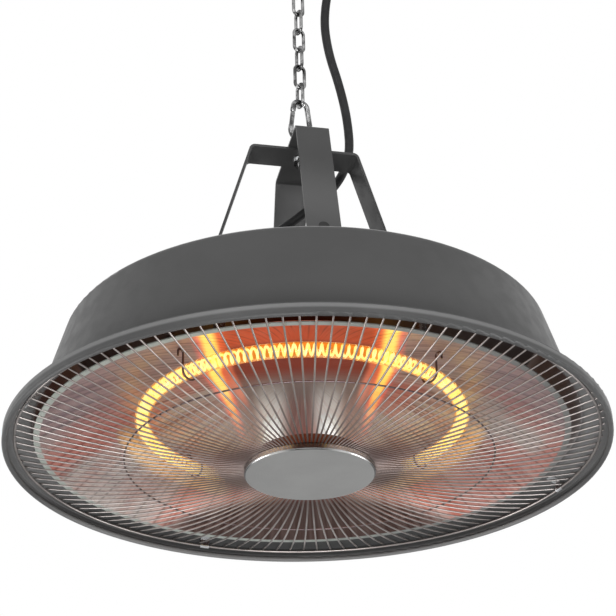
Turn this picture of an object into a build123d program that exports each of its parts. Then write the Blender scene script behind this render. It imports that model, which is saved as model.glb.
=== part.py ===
from build123d import *
import math
import os

os.makedirs("parts", exist_ok=True)

# Hanging patio heater: a ceiling fitting, a chain with a snap hook, and a round heater head that
# hangs from it face down. Lengths are millimetres, angles degrees. Heights are measured upward from
# the lower end of the head's hem, and save() lowers every piece by mount_height, so that the top
# face of the ceiling plate lies at zero.

# Clearances
touch_gap = 0.05
fit_gap = 0.15
swing_gap = 0.30

# Angles of a quarter and a full turn
quarter_angle = 90.0
full_angle = 360.0

# Drum, brim and beaded lip
head_radius = 212.5
lip_bead_radius = 1.9
lip_drop = 0.5
drum_top_height = 85.0
drum_foot_height = 14.6
brim_end_height = 6.4
brim_width = 19.8
drum_taper = 20.9
drum_sheet = 1.2
drum_edge_bend = 6.9
drum_foot_bend = 3.0
brim_end_bend = 2.0

# Reflector dish, which sits a little off the head's axis together with the lamp
reflector_shift = -3.6
dish_lip_inset = 24.9
dish_lip_height = 5.5
dish_flange = 4.3
dish_sheet = 0.8
dish_top_room = 23.0

# Lamp ring and its winding
lamp_radius_share = 0.602
lamp_height_share = 0.333
lamp_tube_radius = 5.25
lamp_wall = 1.0
lamp_gap_angle = 16.0
lamp_gap_middle = 90.0
winding_turns = 17
winding_sections = 4
winding_points_per_turn = 12
winding_inset_angle = 0.5
winding_wire_radius = 0.45
lamp_cap_radius = 7.0
lamp_cap_length = 14.0
lamp_post_radius = 4.5
lamp_post_stand = 11.3
lamp_support_angles = (40.0, 135.0, 229.0, 320.0)
lamp_support_wire = 0.75
lamp_support_bend = 5.5
lamp_support_tip = 3.0
lamp_support_curl = 2.4
lamp_support_curl_share = 0.95

# Grille, whose hub, spokes and support ring sit a little to the right on the rim ring
grille_shift = 1.0
spoke_count = 120
spoke_turn = -1.15
spoke_radius = 0.65
spoke_hold = 6.0
rim_ring_inset = 8.4
rim_ring_height = 3.6
rim_ring_wire = 0.9
support_ring_share = 0.6335
support_ring_wire = 0.6
support_ring_drop = 8.0
hub_radius = 46.0
hub_height = 4.2
hub_bottom_height = -17.0
hub_edge_round = 1.2
hub_face = 1.5
clamp_inset = 2.5
clamp_sheet = 1.5
collar_inset = 7.5
collar_height = 7.3
collar_sheet = 1.0
hub_rivet_radius = 3.0
hub_rivet_head_radius = 5.5
hub_rivet_head_height = 1.4
clip_angle = 25.5
clip_width = 7.0
clip_sheet = 0.8
clip_reach = 7.0
clip_bend = 1.4

# Hanging straps
strap_width = 25.0
strap_sheet = 2.0
strap_angle = 12.0
strap_top_height = 248.0
strap_half_length = 40.6
strap_foot_radius = 88.0
strap_foot_length = 18.0
strap_bend = 4.0
strap_hole_radius = 4.0
strap_hole_height = 143.0
strap_bolt_hole = 3.3
foot_screw_radius = 2.0
foot_screw_hole = 2.2
foot_screw_head_radius = 3.9
foot_screw_head_height = 2.4
foot_nut_radius = 4.0
foot_nut_height = 3.2
foot_screw_tail = 1.5

# Eye bolt, washers and nut
eye_ring_radius = 6.5
eye_wire_radius = 2.4
eye_collar_radius = 5.0
eye_collar_height = 2.0
eye_shank_radius = 3.0
eye_bolt_tail = 2.5
washer_radius = 6.5
washer_height = 1.0
eye_nut_radius = 5.7
eye_nut_height = 5.0

# Chain, snap hook and gate
link_wire_radius = 1.35
link_pitch = 17.6
link_width = 11.0
link_count = 8
hook_angle = 30.0
hook_length = 35.4
hook_wire_radius = 2.1
hook_top_half_width = 5.4
hook_foot_half_width = 9.9
hook_top_bend = 4.9
hook_foot_bend = 8.0
gate_radius = 1.8
gate_top_share = 0.25
gate_foot_share = 0.66
gate_tongue = 1.3
gate_slot = 1.5
gate_pin_radius = 0.75
gate_pin_fit = 0.08
gate_slot_length = 4.5
gate_eye_length = 2.2

# Ceiling fitting
plate_length = 170.0
plate_width = 44.0
plate_sheet = 4.0
plate_corner = 8.0
plate_hole_radius = 2.6
plate_hole_offset = 60.0
plate_sink_radius = 5.2
ceiling_hook_length = 89.1
ceiling_hook_wire = 2.5
ceiling_hook_radius = 11.0
ceiling_hook_neck = 8.0
ceiling_hook_neck_bend = 5.0
ceiling_hook_bend_share = 0.97
ceiling_hook_tip = 4.0

# Mains cord, its gland, coil, tie and plug
cord_radius = 3.5
gland_x = -50.0
gland_y = 22.0
cord_inner_drop = 0.8
gland_thread_radius = 8.0
gland_flange_radius = 11.5
gland_flange_height = 4.0
gland_dome_radius = 9.5
gland_dome_height = 8.0
gland_boot_radius = 5.4
gland_boot_height = 10.0
gland_nut_height = 4.0
coil_x = 76.0
coil_front_y = 8.2
coil_drop = 62.0
coil_outer_radius = 48.0
coil_layer_step = 7.6
coil_turns_in = 3
coil_cross_radius = 25.6
coil_return_radius = 29.0
coil_half_turns_out = 5
tail_reach = 69.0
tail_drop = 44.0
tail_bend = 36.0
tie_sheet = 1.5
tie_width = 12.0
tie_inner_room = 2.0
tie_shift = 0.4
peg_radius = 2.5
peg_front = 22.0
peg_back = 14.0
peg_tip = 12.0
peg_bend = 7.0
plug_boot_radius = 5.2
plug_boot_height = 12.0
plug_shoulder_height = 8.0
plug_neck_radius = 8.5
plug_radius = 18.5
plug_body_height = 20.0
plug_edge_round = 2.0
pin_radius = 2.4
pin_length = 19.0
pin_spacing = 19.0
pin_tip_round = 1.2

# Wiring inside the drum
block_length = 30.0
block_width = 22.0
block_height = 12.0
block_y = 66.0
core_radius = 1.0
core_spread = 1.8
core_bend = 3.0
core_rise_x = -30.0
block_core_step = 5.0
block_wire_drop = 7.0
earth_tag_x = -60.0
earth_tag_y = -12.0
earth_tag_radius = 5.0
earth_tag_sheet = 1.0
lead_radius = 1.3
lead_bend = 8.0
spacer_circle = 100.0
spacer_radius = 4.0
spacer_bore = 1.7
spacer_angle = 57.0
spacer_screw_radius = 1.5
spacer_screw_length = 14.0
spacer_screw_head_radius = 3.2
spacer_screw_head_height = 2.0

# Points that the mains cord passes between the gland and the coil, and its first and last rises
cord_points = [
    (-34.0, 22.0, 182.0),
    (2.0, 23.5, 210.0),
    (27.0, 27.0, 236.0),
    (38.0, 26.0, 262.0),
    (37.0, 22.0, 292.0),
    (31.5, 17.0, 322.0),
    (23.0, 12.0, 352.0),
    (20.0, 9.0, 385.0),
]
cord_first_rise = 46.0
cord_last_rise = 35.0
cord_bend_share = 0.45

# Heights of the eye bolt and of everything above it
front_strap_top = strap_top_height
side_strap_top = front_strap_top - strap_sheet
side_strap_bottom = side_strap_top - strap_sheet
eye_seat = front_strap_top + washer_height
eye_height = eye_seat + eye_collar_height / 2 + eye_ring_radius + eye_wire_radius
eye_crown = eye_height + eye_ring_radius
hook_foot_height = eye_crown - eye_wire_radius - hook_wire_radius - swing_gap
hook_top_height = hook_foot_height + hook_length
first_link_height = hook_top_height - hook_wire_radius - link_wire_radius - swing_gap
link_crown_span = link_pitch + 2 * link_wire_radius + swing_gap
last_link_crown = first_link_height + (link_count - 1) * link_pitch + link_crown_span
ceiling_hook_low = last_link_crown - link_wire_radius - ceiling_hook_wire - swing_gap
plate_bottom = ceiling_hook_low + ceiling_hook_length
mount_height = plate_bottom + plate_sheet


def at_angle(radius, degrees, height=0.0):
    """Point at a radius and an angle about the head's axis, at a height."""
    turn = math.radians(degrees)
    return (radius * math.cos(turn), radius * math.sin(turn), height)


def save(name, shape):
    """Lower a piece into the shared frame and write it."""
    export_step(Pos(0, 0, -mount_height) * shape, f"parts/{name}.step")


def round_bar(path, radius):
    """Round wire or tube swept along a path."""
    start = Plane(origin=path @ 0, z_dir=path % 0)
    return sweep(start * Circle(radius), path=path)


def rod(radius, low, high, x=0.0, y=0.0):
    """Upright round rod between two heights."""
    return Pos(x, y, low) * Cylinder(radius, high - low, align=(Align.CENTER, Align.CENTER, Align.MIN))


def hexagon(radius, low, high, x=0.0, y=0.0):
    """Upright hexagonal nut blank between two heights."""
    return extrude(Pos(x, y, low) * RegularPolygon(radius, 6), amount=high - low)


def ring_of_wire(radius, height, wire):
    """Closed ring of round wire about the head's axis."""
    return Pos(0, 0, height) * Torus(radius, wire)


def end_slope(start, middle, end):
    """Slope at the end of a shallow bow through three points, each a radius and a height."""
    whole = (end[1] - start[1]) / (end[0] - start[0])
    first_part = (middle[1] - start[1]) / (middle[0] - start[0])
    last_part = (end[1] - middle[1]) / (end[0] - middle[0])
    return whole + last_part - first_part


# Shapes of the drum and its brim; a rate is the outline's change of radius or height along it
drum_inner_height = drum_top_height - drum_sheet
drum_foot_radius = head_radius - brim_width
drum_top_radius = drum_foot_radius - drum_taper
lip_centre_radius = head_radius - lip_bead_radius
hem_radius = lip_centre_radius + math.sqrt(lip_bead_radius**2 - lip_drop**2) - touch_gap
wall_rate = drum_taper / (drum_top_height - drum_foot_height)
brim_rate = (drum_foot_height - brim_end_height) / (hem_radius - drum_foot_radius)
wall_stretch = math.hypot(1, wall_rate)
brim_stretch = math.hypot(1, brim_rate)

# Shapes of the dish and the lamp
dish_lip_radius = head_radius - dish_lip_inset
dish_edge_radius = dish_lip_radius - dish_flange
dish_rise = drum_top_height - dish_lip_height - dish_top_room
dish_radius = (dish_edge_radius**2 + dish_rise**2) / (2 * dish_rise)
dish_centre_height = dish_lip_height + dish_rise - dish_radius
dish_skin_radius = dish_radius + dish_sheet
lamp_radius = dish_lip_radius * lamp_radius_share
lamp_height = dish_lip_height + dish_rise * lamp_height_share
lamp_arc = full_angle - lamp_gap_angle
lamp_start = lamp_gap_middle + lamp_gap_angle / 2
winding_radius = lamp_tube_radius - lamp_wall - winding_wire_radius - fit_gap

# Shapes of the grille; the spokes' ends are raised by what the shifted bows lose over the rim ring
rim_ring_radius = head_radius - rim_ring_inset
support_ring_radius = rim_ring_radius * support_ring_share
spoke_inner_radius = hub_radius - spoke_hold
clamp_radius = hub_radius - clamp_inset
collar_radius = hub_radius - collar_inset
hub_top_height = hub_bottom_height + hub_height
rivet_low = hub_bottom_height + hub_face
spoke_inner_height = hub_top_height + 2 * fit_gap + spoke_radius
clamp_bottom_height = spoke_inner_height + spoke_radius + fit_gap
spoke_seat_height = rim_ring_height + rim_ring_wire + spoke_radius + 2 * fit_gap
spoke_end_slope = end_slope(
    (spoke_inner_radius, spoke_inner_height),
    (support_ring_radius, -support_ring_drop),
    (rim_ring_radius, spoke_seat_height),
)
spoke_outer_height = spoke_seat_height + 2 * grille_shift * spoke_end_slope
spoke_outer_radius = rim_ring_radius + spoke_radius + grille_shift
support_ring_height = -support_ring_drop + spoke_radius + support_ring_wire + touch_gap


def dish_height(radius):
    """Height of the dish's lower skin at a radius."""
    return dish_centre_height + math.sqrt(dish_radius**2 - radius**2)


def dish_top_height(radius):
    """Height of the dish's upper skin at a radius."""
    return dish_centre_height + math.sqrt(dish_skin_radius**2 - radius**2)


def brim_height(radius, depth):
    """Height of the brim at a radius, at a depth below its upper skin."""
    return brim_end_height + brim_rate * (hem_radius - radius) - depth * brim_stretch


def drum_solid(inset):
    """Filled drum, brim and hem, with the outline moved inward by inset."""
    wall_shift = inset * wall_stretch
    foot_shift = (wall_shift - wall_rate * inset * brim_stretch) / (1 - wall_rate * brim_rate)
    foot_radius = drum_foot_radius - foot_shift
    end_radius = hem_radius - inset
    top_height = drum_top_height - inset
    top_radius = drum_top_radius - wall_shift + wall_rate * inset
    side = FilletPolyline(
        (0, 0, top_height),
        (top_radius, 0, top_height),
        (foot_radius, 0, brim_height(foot_radius, inset)),
        (end_radius, 0, brim_height(end_radius, inset)),
        (end_radius, 0, 0),
        radius=[drum_edge_bend - inset, drum_foot_bend + inset, brim_end_bend - inset],
    )
    foot = Line((end_radius, 0, 0), (0, 0, 0))
    spine = Line((0, 0, 0), (0, 0, top_height))
    return revolve(make_face(side.edges() + [foot, spine]), axis=Axis.Z)


def quarter_turns(first):
    """Four angles about the head's axis, a quarter turn apart."""
    return [first + quarter * quarter_angle for quarter in range(4)]


def make_housing():
    """Spun drum with a brim, a hem and a beaded lip, pierced for the feet, the gland and spacers."""
    body = drum_solid(0) - drum_solid(drum_sheet)
    body = body + ring_of_wire(lip_centre_radius, -lip_drop, lip_bead_radius)
    screw_circle = strap_foot_radius + strap_foot_length / 2
    low = drum_inner_height - drum_sheet
    high = drum_top_height + drum_sheet
    for angle in quarter_turns(strap_angle):
        x, y, _ = at_angle(screw_circle, angle)
        body = body - rod(foot_screw_hole, low, high, x, y)
    for angle in quarter_turns(spacer_angle):
        x, y, _ = at_angle(spacer_circle, angle)
        body = body - rod(spacer_bore, low, high, reflector_shift + x, y)
    return body - rod(gland_thread_radius + fit_gap, low, high, gland_x, gland_y)


def lamp_cap_places():
    """Points at the middle of the two ceramic caps, with the direction along the lamp there."""
    places = []
    for side in (-1, 1):
        angle = lamp_gap_middle - side * lamp_gap_angle / 2
        x, y, z = at_angle(lamp_radius, angle, lamp_height)
        turn = math.radians(angle)
        along = (-side * math.sin(turn), side * math.cos(turn), 0)
        half = lamp_cap_length / 2
        middle = (x + along[0] * half, y + along[1] * half, z)
        places.append(((x, y, z), along, middle))
    return places


def lamp_post_top():
    """Height of the upper ends of the lamp's ceramic posts."""
    return dish_top_height(lamp_radius) + lamp_post_stand


def make_reflector():
    """Polished dish with a flat flange round it, pierced for the lamp's two ceramic posts."""
    edge = dish_edge_radius
    flange_top = dish_lip_height + dish_sheet
    root = math.sqrt(dish_skin_radius**2 - (flange_top - dish_centre_height) ** 2)
    inner_arc = ThreePointArc(
        (edge, 0, dish_lip_height), (edge / 2, 0, dish_height(edge / 2)), (0, 0, dish_height(0))
    )
    outer_arc = ThreePointArc(
        (0, 0, dish_top_height(0)), (root / 2, 0, dish_top_height(root / 2)), (root, 0, flange_top)
    )
    spine = Line(inner_arc @ 1, outer_arc @ 0)
    flange = Polyline(
        outer_arc @ 1,
        (dish_lip_radius, 0, flange_top),
        (dish_lip_radius, 0, dish_lip_height),
        inner_arc @ 0,
    )
    dish = revolve(make_face(flange.edges() + [inner_arc, spine, outer_arc]), axis=Axis.Z)
    for _, _, middle in lamp_cap_places():
        dish = dish - rod(lamp_post_radius + fit_gap, lamp_height, drum_top_height, middle[0], middle[1])
    return dish


def make_lamp_tube():
    """Quartz ring with a gap at the far side, hollow for the winding."""
    arc = Pos(0, 0, lamp_height) * CenterArc((0, 0, 0), lamp_radius, lamp_start, lamp_arc)
    start = Plane(origin=arc @ 0, z_dir=arc % 0)
    return sweep(start * (Circle(lamp_tube_radius) - Circle(lamp_tube_radius - lamp_wall)), path=arc)


def winding_point(section, share):
    """Point on one section of the glowing winding, at a share of its course."""
    section_arc = lamp_arc / winding_sections - 2 * winding_inset_angle
    start = lamp_start + section * lamp_arc / winding_sections + winding_inset_angle
    phase = 2 * math.pi * winding_turns * share
    reach = lamp_radius + winding_radius * math.cos(phase)
    height = lamp_height + winding_radius * math.sin(phase)
    return at_angle(reach, start + section_arc * share, height)


def make_lamp_winding():
    """Glowing wire in four sections inside the quartz ring, each wound as an open spiral."""
    steps = winding_turns * winding_points_per_turn
    pieces = []
    for section in range(winding_sections):
        points = [winding_point(section, step / steps) for step in range(steps + 1)]
        path = Spline(*points)
        start = Plane(origin=path @ 0, z_dir=path % 0)
        pieces.append(sweep(start * Circle(winding_wire_radius), path=path, is_frenet=True))
    return Compound(pieces)


def make_lamp_caps():
    """Two ceramic caps closing the lamp's ends, each with a post up through the reflector."""
    caps = []
    for end, along, middle in lamp_cap_places():
        cap = extrude(Plane(origin=end, z_dir=along) * Circle(lamp_cap_radius), amount=lamp_cap_length)
        post = rod(lamp_post_radius, lamp_height, lamp_post_top(), middle[0], middle[1])
        caps.append(cap + post)
    return Compound(caps)


def make_lamp_supports():
    """Wire hooks that carry the lamp tube below the dish, each curled over against the dish."""
    supports = []
    reach = lamp_tube_radius + fit_gap + lamp_support_wire
    low = lamp_height - reach
    outer = lamp_radius + reach
    inner = lamp_radius - reach
    curl = lamp_support_curl
    curl_reach = dish_radius - fit_gap - lamp_support_wire - curl
    curl_height = dish_centre_height + math.sqrt(curl_reach**2 - (outer + curl) ** 2)
    curl_bend = curl * lamp_support_curl_share
    for angle in lamp_support_angles:
        path = FilletPolyline(
            (outer + 2 * curl, 0, curl_height - lamp_support_tip),
            (outer + 2 * curl, 0, curl_height + curl),
            (outer, 0, curl_height + curl),
            (outer, 0, low),
            (inner, 0, low),
            (inner, 0, lamp_height + lamp_support_tip),
            radius=[curl_bend, curl_bend, lamp_support_bend, lamp_support_bend],
        )
        supports.append(Rot(0, 0, angle) * round_bar(path, lamp_support_wire))
    return Compound(supports)


def make_lamp_leads():
    """Two insulated leads from the lamp's posts to the terminal block."""
    leads = []
    height = drum_inner_height - block_wire_drop
    for _, _, middle in lamp_cap_places():
        path = FilletPolyline(
            (middle[0], middle[1], lamp_post_top()),
            (middle[0], middle[1], height),
            (middle[0], block_y + block_width / 2, height),
            radius=lead_bend,
        )
        leads.append(round_bar(path, lead_radius))
    return Compound(leads)


def make_spokes():
    """All the grille's spokes, each a bowed wire from the hub out over the rim ring."""
    bow = ThreePointArc(
        (spoke_inner_radius, 0, spoke_inner_height),
        (support_ring_radius, 0, -support_ring_drop),
        (spoke_outer_radius, 0, spoke_outer_height),
    )
    spoke = round_bar(bow, spoke_radius)
    step = full_angle / spoke_count
    return Compound([Rot(0, 0, spoke_turn + number * step) * spoke for number in range(spoke_count)])


def make_hub():
    """Shallow round cap in the middle of the grille."""
    cap = rod(hub_radius, hub_bottom_height, hub_top_height)
    cap = fillet(cap.edges().group_by(Axis.Z)[0], hub_edge_round)
    return cap - rod(hub_rivet_radius + touch_gap, rivet_low, hub_top_height)


def make_hub_clamp():
    """Disc behind the hub that clamps the spokes' ends, with a turned-up collar inside them."""
    top = clamp_bottom_height + clamp_sheet
    rim = top + collar_height
    disc = rod(clamp_radius, clamp_bottom_height, top) + rod(collar_radius, clamp_bottom_height, rim)
    disc = disc - rod(collar_radius - collar_sheet, top, rim)
    return disc - rod(hub_rivet_radius + touch_gap, clamp_bottom_height, top)


def make_hub_rivet():
    """Headed rivet through the clamp disc into the hub's back."""
    top = clamp_bottom_height + clamp_sheet
    shank = rod(hub_rivet_radius, rivet_low + touch_gap, top)
    return shank + rod(hub_rivet_head_radius, top, top + hub_rivet_head_height)


def make_grille_clips():
    """Bent strips that hook under the rim ring and lie against the brim's underside."""
    clips = []
    reach = rim_ring_wire + fit_gap + clip_sheet / 2
    inner = rim_ring_radius - reach
    low = rim_ring_height - reach
    depth = drum_sheet + touch_gap + clip_sheet / 2
    for angle in quarter_turns(clip_angle + spoke_turn):
        path = FilletPolyline(
            (inner - clip_reach, 0, brim_height(inner - clip_reach, depth)),
            (inner, 0, brim_height(inner, depth)),
            (inner, 0, low),
            (rim_ring_radius, 0, low),
            radius=clip_bend,
        )
        start = Plane(origin=path @ 0, z_dir=path % 0, x_dir=(0, 1, 0))
        strip = sweep(start * Rectangle(clip_width, clip_sheet), path=path)
        clips.append(Rot(0, 0, angle) * strip)
    return Compound(clips)


def strap_bar(top_height):
    """Bent steel bar before drilling: a flat top, two splayed legs and two feet on the drum."""
    top = top_height - strap_sheet / 2
    foot = drum_top_height + strap_sheet / 2
    end_radius = strap_foot_radius + strap_foot_length
    path = FilletPolyline(
        (-end_radius, 0, foot),
        (-strap_foot_radius, 0, foot),
        (-strap_half_length, 0, top),
        (strap_half_length, 0, top),
        (strap_foot_radius, 0, foot),
        (end_radius, 0, foot),
        radius=strap_bend,
    )
    start = Plane(origin=path @ 0, z_dir=path % 0, x_dir=(0, 1, 0))
    return sweep(start * Rectangle(strap_width, strap_sheet), path=path)


def leg_drill(radius):
    """Level cylinder through both legs of a strap at the holes' height."""
    across = Plane(origin=(0, 0, strap_hole_height), z_dir=(1, 0, 0))
    return extrude(across * Circle(radius), amount=strap_foot_radius, both=True)


def make_strap(top_height, angle, with_holes):
    """Hanging strap with its bolt hole, its foot screw holes and, on request, a hole in each leg."""
    strap = strap_bar(top_height)
    strap = strap - rod(strap_bolt_hole, top_height - 2 * strap_sheet, top_height + strap_sheet)
    foot = drum_top_height + strap_sheet / 2
    screw_circle = strap_foot_radius + strap_foot_length / 2
    for side in (-1, 1):
        strap = strap - rod(foot_screw_hole, foot - strap_sheet, foot + strap_sheet, side * screw_circle)
    if with_holes:
        strap = strap - leg_drill(strap_hole_radius)
    return Rot(0, 0, angle) * strap


def make_strap_plugs():
    """Dark plugs flush in the holes of the front strap's legs."""
    plugs = strap_bar(front_strap_top) & leg_drill(strap_hole_radius - touch_gap)
    return Rot(0, 0, strap_angle + quarter_angle) * Compound(list(plugs.solids()))


def make_strap_screws():
    """Pan-head screws down through the strap feet and the drum."""
    screws = []
    circle = strap_foot_radius + strap_foot_length / 2
    seat = drum_top_height + strap_sheet
    low = drum_inner_height - foot_nut_height - foot_screw_tail
    for angle in quarter_turns(strap_angle):
        x, y, _ = at_angle(circle, angle)
        head = rod(foot_screw_head_radius, seat, seat + foot_screw_head_height, x, y)
        head = fillet(head.edges().group_by(Axis.Z)[-1], foot_screw_head_height / 2)
        screws.append(head + rod(foot_screw_radius, low, seat, x, y))
    return Compound(screws)


def make_strap_nuts():
    """Hexagon nuts on those screws, against the drum's inner side."""
    nuts = []
    circle = strap_foot_radius + strap_foot_length / 2
    low = drum_inner_height - foot_nut_height
    for angle in quarter_turns(strap_angle):
        x, y, _ = at_angle(circle, angle)
        nut = hexagon(foot_nut_radius, low, drum_inner_height, x, y)
        nuts.append(nut - rod(foot_screw_radius + touch_gap, low, drum_inner_height, x, y))
    return Compound(nuts)


def make_eye_bolt():
    """Eye bolt that carries the head: ring, collar and threaded shank."""
    ring = Pos(0, 0, eye_height) * Rot(0, quarter_angle, 0) * Torus(eye_ring_radius, eye_wire_radius)
    collar = rod(eye_collar_radius, eye_seat, eye_seat + eye_collar_height)
    low = side_strap_bottom - washer_height - eye_nut_height - eye_bolt_tail
    shank = rod(eye_shank_radius, low, eye_seat)
    return Rot(0, 0, hook_angle) * (ring + collar) + shank


def make_washers():
    """Washers above and below the crossed straps."""
    washers = []
    for low in (front_strap_top, side_strap_bottom - washer_height):
        disc = rod(washer_radius, low, low + washer_height)
        washers.append(disc - rod(eye_shank_radius + fit_gap, low, low + washer_height))
    return Compound(washers)


def make_eye_nut():
    """Hexagon nut below the crossed straps."""
    high = side_strap_bottom - washer_height
    low = high - eye_nut_height
    return hexagon(eye_nut_radius, low, high) - rod(eye_shank_radius + touch_gap, low, high)


def make_link(number):
    """One oval chain link; odd and even links stand a quarter turn apart."""
    low = first_link_height + number * link_pitch
    high = low + link_crown_span
    half = link_width / 2 - link_wire_radius
    right = Line((half, 0, low + half), (half, 0, high - half))
    top = ThreePointArc((half, 0, high - half), (0, 0, high), (-half, 0, high - half))
    left = Line((-half, 0, high - half), (-half, 0, low + half))
    bottom = ThreePointArc((-half, 0, low + half), (0, 0, low), (half, 0, low + half))
    link = round_bar(Wire([right, top]), link_wire_radius)
    link = link + round_bar(Wire([left, bottom]), link_wire_radius)
    angle = hook_angle - quarter_angle if number % 2 == 0 else hook_angle
    return Rot(0, 0, angle) * link


def hook_side_point(share):
    """Point on the snap hook's gate side, at a share of the way down from its top."""
    x = -(hook_top_half_width + (hook_foot_half_width - hook_top_half_width) * share)
    z = hook_top_height + (hook_foot_height - hook_top_height) * share
    return (x, 0, z)


def gate_frame():
    """Plane at the gate's pin: its own z runs down along the gate, its y across the hook."""
    top = hook_side_point(gate_top_share)
    foot = hook_side_point(gate_foot_share)
    along = (foot[0] - top[0], 0, foot[2] - top[2])
    length = math.hypot(along[0], along[2])
    return Plane(origin=top, z_dir=along, x_dir=(-along[2], 0, along[0])), length


def make_hook_body():
    """Pear-shaped snap hook with an open side for the gate, forked at the gate's pin."""
    path = FilletPolyline(
        hook_side_point(gate_top_share),
        hook_side_point(0),
        (hook_top_half_width, 0, hook_top_height),
        (hook_foot_half_width, 0, hook_foot_height),
        hook_side_point(1),
        hook_side_point(gate_foot_share),
        radius=[hook_top_bend, hook_top_bend, hook_foot_bend, hook_foot_bend],
    )
    body = round_bar(path, hook_wire_radius)
    frame, _ = gate_frame()
    knuckle = frame * Sphere(hook_wire_radius)
    slot = frame * Box(gate_slot_length, gate_slot, gate_slot_length)
    pin_hole = frame * Rot(quarter_angle, 0, 0) * Cylinder(gate_pin_radius + touch_gap, 4 * hook_wire_radius)
    return Rot(0, 0, hook_angle) * (body + knuckle - slot - pin_hole)


def make_gate():
    """Sprung gate: a round bar with a flat tongue on the pin."""
    frame, length = gate_frame()
    bar_start = gate_eye_length + swing_gap
    bar_length = length - bar_start - swing_gap
    bar = frame * Pos(0, 0, bar_start) * Cylinder(
        gate_radius, bar_length, align=(Align.CENTER, Align.CENTER, Align.MIN)
    )
    eye = frame * Rot(quarter_angle, 0, 0) * Cylinder(gate_eye_length - gate_pin_radius, gate_tongue)
    width = gate_eye_length
    tongue = frame * Pos(0, 0, bar_start / 2) * Box(width, gate_tongue, bar_start)
    hole = frame * Rot(quarter_angle, 0, 0) * Cylinder(gate_pin_radius + gate_pin_fit, 2 * gate_tongue)
    return Rot(0, 0, hook_angle) * (bar + eye + tongue - hole)


def make_gate_pin():
    """Pin through the fork and the gate's tongue."""
    frame, _ = gate_frame()
    pin = frame * Rot(quarter_angle, 0, 0) * Cylinder(gate_pin_radius, 2 * hook_wire_radius)
    return Rot(0, 0, hook_angle) * pin


def make_ceiling_plate():
    """Flat ceiling plate with two countersunk screw holes."""
    outline = RectangleRounded(plate_length, plate_width, plate_corner)
    plate = extrude(Pos(0, 0, plate_bottom) * outline, amount=plate_sheet)
    sink_height = plate_sink_radius - plate_hole_radius
    for side in (-1, 1):
        x = side * plate_hole_offset
        plate = plate - rod(plate_hole_radius, plate_bottom, mount_height, x)
        sink = Pos(x, 0, plate_bottom + sink_height / 2) * Cone(
            plate_sink_radius, plate_hole_radius, sink_height
        )
        plate = plate - sink
    return plate


def make_ceiling_hook():
    """Round ceiling hook with a long shank, open at one side."""
    radius = ceiling_hook_radius
    middle = ceiling_hook_low + radius
    path = FilletPolyline(
        (0, 0, plate_bottom),
        (0, 0, middle + radius + ceiling_hook_neck),
        (-radius, 0, middle + radius),
        (-radius, 0, ceiling_hook_low),
        (radius, 0, ceiling_hook_low),
        (radius, 0, middle + ceiling_hook_tip),
        radius=[
            ceiling_hook_neck_bend,
            ceiling_hook_neck_bend,
            radius * ceiling_hook_bend_share,
            radius * ceiling_hook_bend_share,
        ],
    )
    angle = hook_angle - quarter_angle if link_count % 2 == 0 else hook_angle
    return Rot(0, 0, angle) * round_bar(path, ceiling_hook_wire)


# The coil of spare cord, wound inward in its front layer and outward in its back layer
coil_height = mount_height - coil_drop
coil_back_y = coil_front_y + coil_layer_step
coil_cross_top = math.sqrt(coil_cross_radius**2 + (coil_layer_step / 2) ** 2)
peg_height = coil_height + coil_cross_top - cord_radius - peg_radius - touch_gap
tie_middle_y = coil_front_y + coil_layer_step / 2


def half_turn(x, y, radius, side, upper):
    """Half circle starting at x on one side of the coil, over the top or under the bottom."""
    lift = radius if upper else -radius
    middle = x - side * radius
    end = x - 2 * side * radius
    top = coil_height + lift
    return ThreePointArc((x, y, coil_height), (middle, y, top), (end, y, coil_height)), end


def coil_edges():
    """Every arc of the coil in order, from the hanging cord to the plug's tail."""
    edges = []
    step = coil_layer_step / 2
    x = coil_x - coil_outer_radius
    side = -1
    for number in range(2 * coil_turns_in):
        radius = coil_outer_radius - number * step
        arc, x = half_turn(x, coil_front_y, radius, side, side < 0)
        edges.append(arc)
        side = -side
    top = (x + coil_cross_radius, tie_middle_y, coil_height + coil_cross_top)
    end = (x + 2 * coil_cross_radius, coil_back_y, coil_height)
    edges.append(TangentArc((x, coil_front_y, coil_height), top, tangent=(0, 0, 1)))
    edges.append(TangentArc(end, top, tangent=(0, 0, 1)))
    x = end[0]
    side = 1
    for number in range(coil_half_turns_out):
        radius = coil_return_radius + number * step
        arc, x = half_turn(x, coil_back_y, radius, side, side < 0)
        edges.append(arc)
        side = -side
    middle = x + coil_outer_radius
    top = (middle, coil_back_y, coil_height + coil_outer_radius)
    edges.append(TangentArc((x, coil_back_y, coil_height), top, tangent=(0, 0, 1)))
    return edges, top


def tail_path(start):
    """Short end of cord from the coil's top over to the plug beside it."""
    x, y, z = start
    corner = x + tail_reach
    return FilletPolyline(start, (corner, y, z), (corner, y, z - tail_drop), radius=tail_bend)


def least_gap(points, radius, skip):
    """Least clear distance between parts of a tube that are well apart along it."""
    least = None
    for first in range(len(points)):
        for second in range(first + skip, len(points)):
            gap = math.dist(points[first], points[second]) - 2 * radius
            least = gap if least is None or gap < least else least
    return least


def make_coil():
    """Coil of spare cord with its tail, one unbroken tube; prints its length and least gap."""
    edges, top = coil_edges()
    tail = tail_path(top)
    path = Wire(edges + list(tail.edges()))
    coil = round_bar(path, cord_radius)
    count = round(path.length / cord_radius)
    points = [tuple(path @ (index / count)) for index in range(count + 1)]
    gap = least_gap(points, cord_radius, round(coil_cross_radius * 2 / cord_radius))
    print("coil length", round(path.length, 1), "least gap", round(gap, 2))
    print_volume_share("coil", coil, path)
    return coil, tuple(tail @ 1)


def print_volume_share(name, shape, path):
    """Print a swept cord's volume over its section times its length."""
    expected = math.pi * cord_radius**2 * path.length
    print(name, "volume over section times length", round(shape.volume / expected, 4))


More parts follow.
